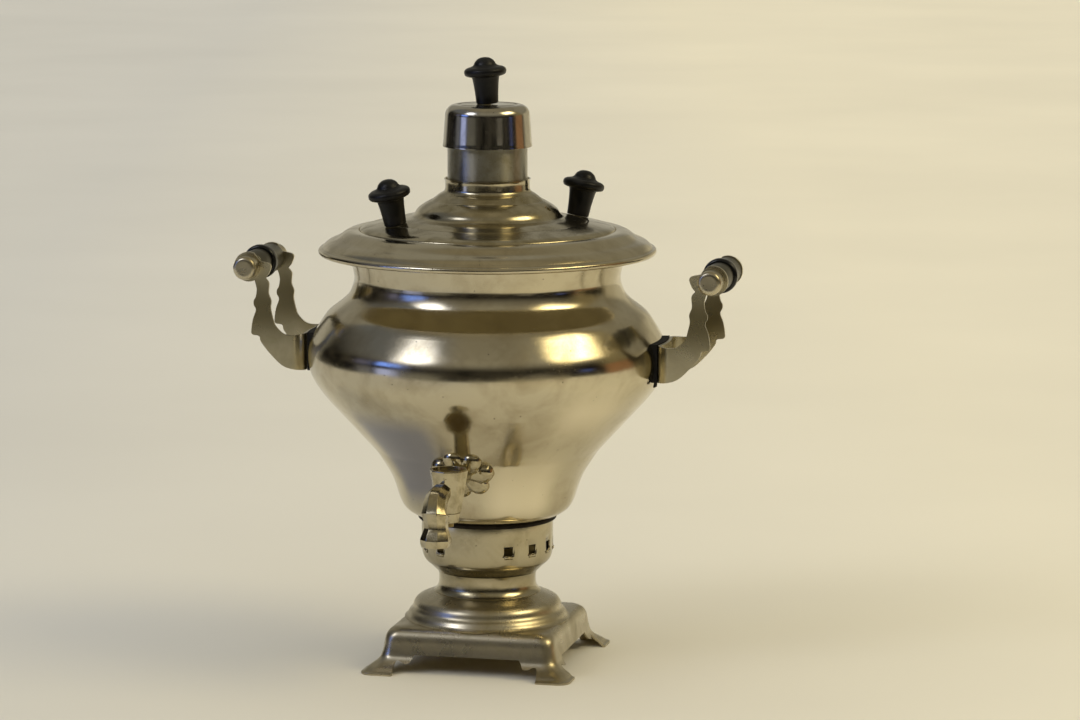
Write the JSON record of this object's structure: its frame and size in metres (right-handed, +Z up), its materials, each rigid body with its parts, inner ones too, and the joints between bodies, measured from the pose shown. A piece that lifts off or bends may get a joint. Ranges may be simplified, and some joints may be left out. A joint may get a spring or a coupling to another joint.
{
  "type": "samovar",
  "caption": "Charcoal samovar: spun vessel round a fire tube, square footed stand, lift-off lid and chimney cap, tap with a turning plug, side handles with loose turning grips.",
  "frame": {"origin": "on the samovar's upright axis, at the height of the ground under its toes", "axes": "+Z up along the axis, -Y towards the tap, X along the line of the two handles"},
  "size_m": [0.21, 0.1646, 0.252],
  "materials": {
    "nickel": "polished nickel plate",
    "dull_nickel": "worn, dull nickel plate",
    "tube_steel": "matt grey steel tube",
    "knob_plastic": "black moulded plastic with a satin gloss",
    "pad_rubber": "black pad",
    "fibre": "brown fibre sealing washer",
    "grate_iron": "dark burnt iron"
  },
  "bodies": {
    "samovar": {"stand_base": "dull_nickel", "stand_dome": "dull_nickel", "stand_neck": "nickel", "vent_ring": "nickel", "foot_ring": "nickel", "vessel": "nickel", "vessel_neck": "nickel", "vessel_floor": "dull_nickel", "brim": "nickel", "fire_tube": "tube_steel", "grate": "grate_iron", "left_handle_bracket": "nickel", "right_handle_bracket": "nickel", "left_handle_pad": "pad_rubber", "right_handle_pad": "pad_rubber", "left_handle_screws": "nickel", "right_handle_screws": "nickel", "left_handle_nuts": "dull_nickel", "right_handle_nuts": "dull_nickel", "tap_rosette": "nickel", "tap_body": "nickel", "tap_spout": "nickel", "tap_washer": "fibre", "tap_nut": "dull_nickel"},
    "lid": {"lid": "nickel", "left_lid_knob": "knob_plastic", "right_lid_knob": "knob_plastic", "lid_knob_screws": "dull_nickel"},
    "cap": {"chimney_cap": "nickel", "cap_knob": "knob_plastic", "cap_knob_screw": "dull_nickel"},
    "plug": {"tap_plug": "dull_nickel", "plug_washer": "dull_nickel", "plug_nut": "nickel"},
    "left_grip": {"left_grip_rod": "nickel", "left_grip_caps": "nickel", "left_grip_sleeves": "dull_nickel", "left_grip_disc": "knob_plastic"},
    "right_grip": {"right_grip_rod": "nickel", "right_grip_caps": "nickel", "right_grip_sleeves": "dull_nickel", "right_grip_disc": "knob_plastic"}
  },
  "joints": [
    {"name": "lid_lift", "type": "slide", "parent": "samovar", "child": "lid", "axis": [0, 0, 1], "range_m": [0, 0.06]},
    {"name": "cap_lift", "type": "slide", "parent": "lid", "child": "cap", "axis": [0, 0, 1], "range_m": [0, 0.03]},
    {"name": "plug_turn", "type": "hinge", "parent": "samovar", "child": "plug", "pos_m": [0, -0.0665, 0.0855], "axis": [0, 0, 1], "range_deg": [0, 90]},
    {"name": "left_grip_spin", "type": "hinge", "parent": "samovar", "child": "left_grip", "pos_m": [-0.0978, 0, 0.1645], "axis": [0, 1, 0], "continuous": true},
    {"name": "right_grip_spin", "type": "hinge", "parent": "samovar", "child": "right_grip", "pos_m": [0.0978, 0, 0.1645], "axis": [0, 1, 0], "continuous": true}
  ]
}
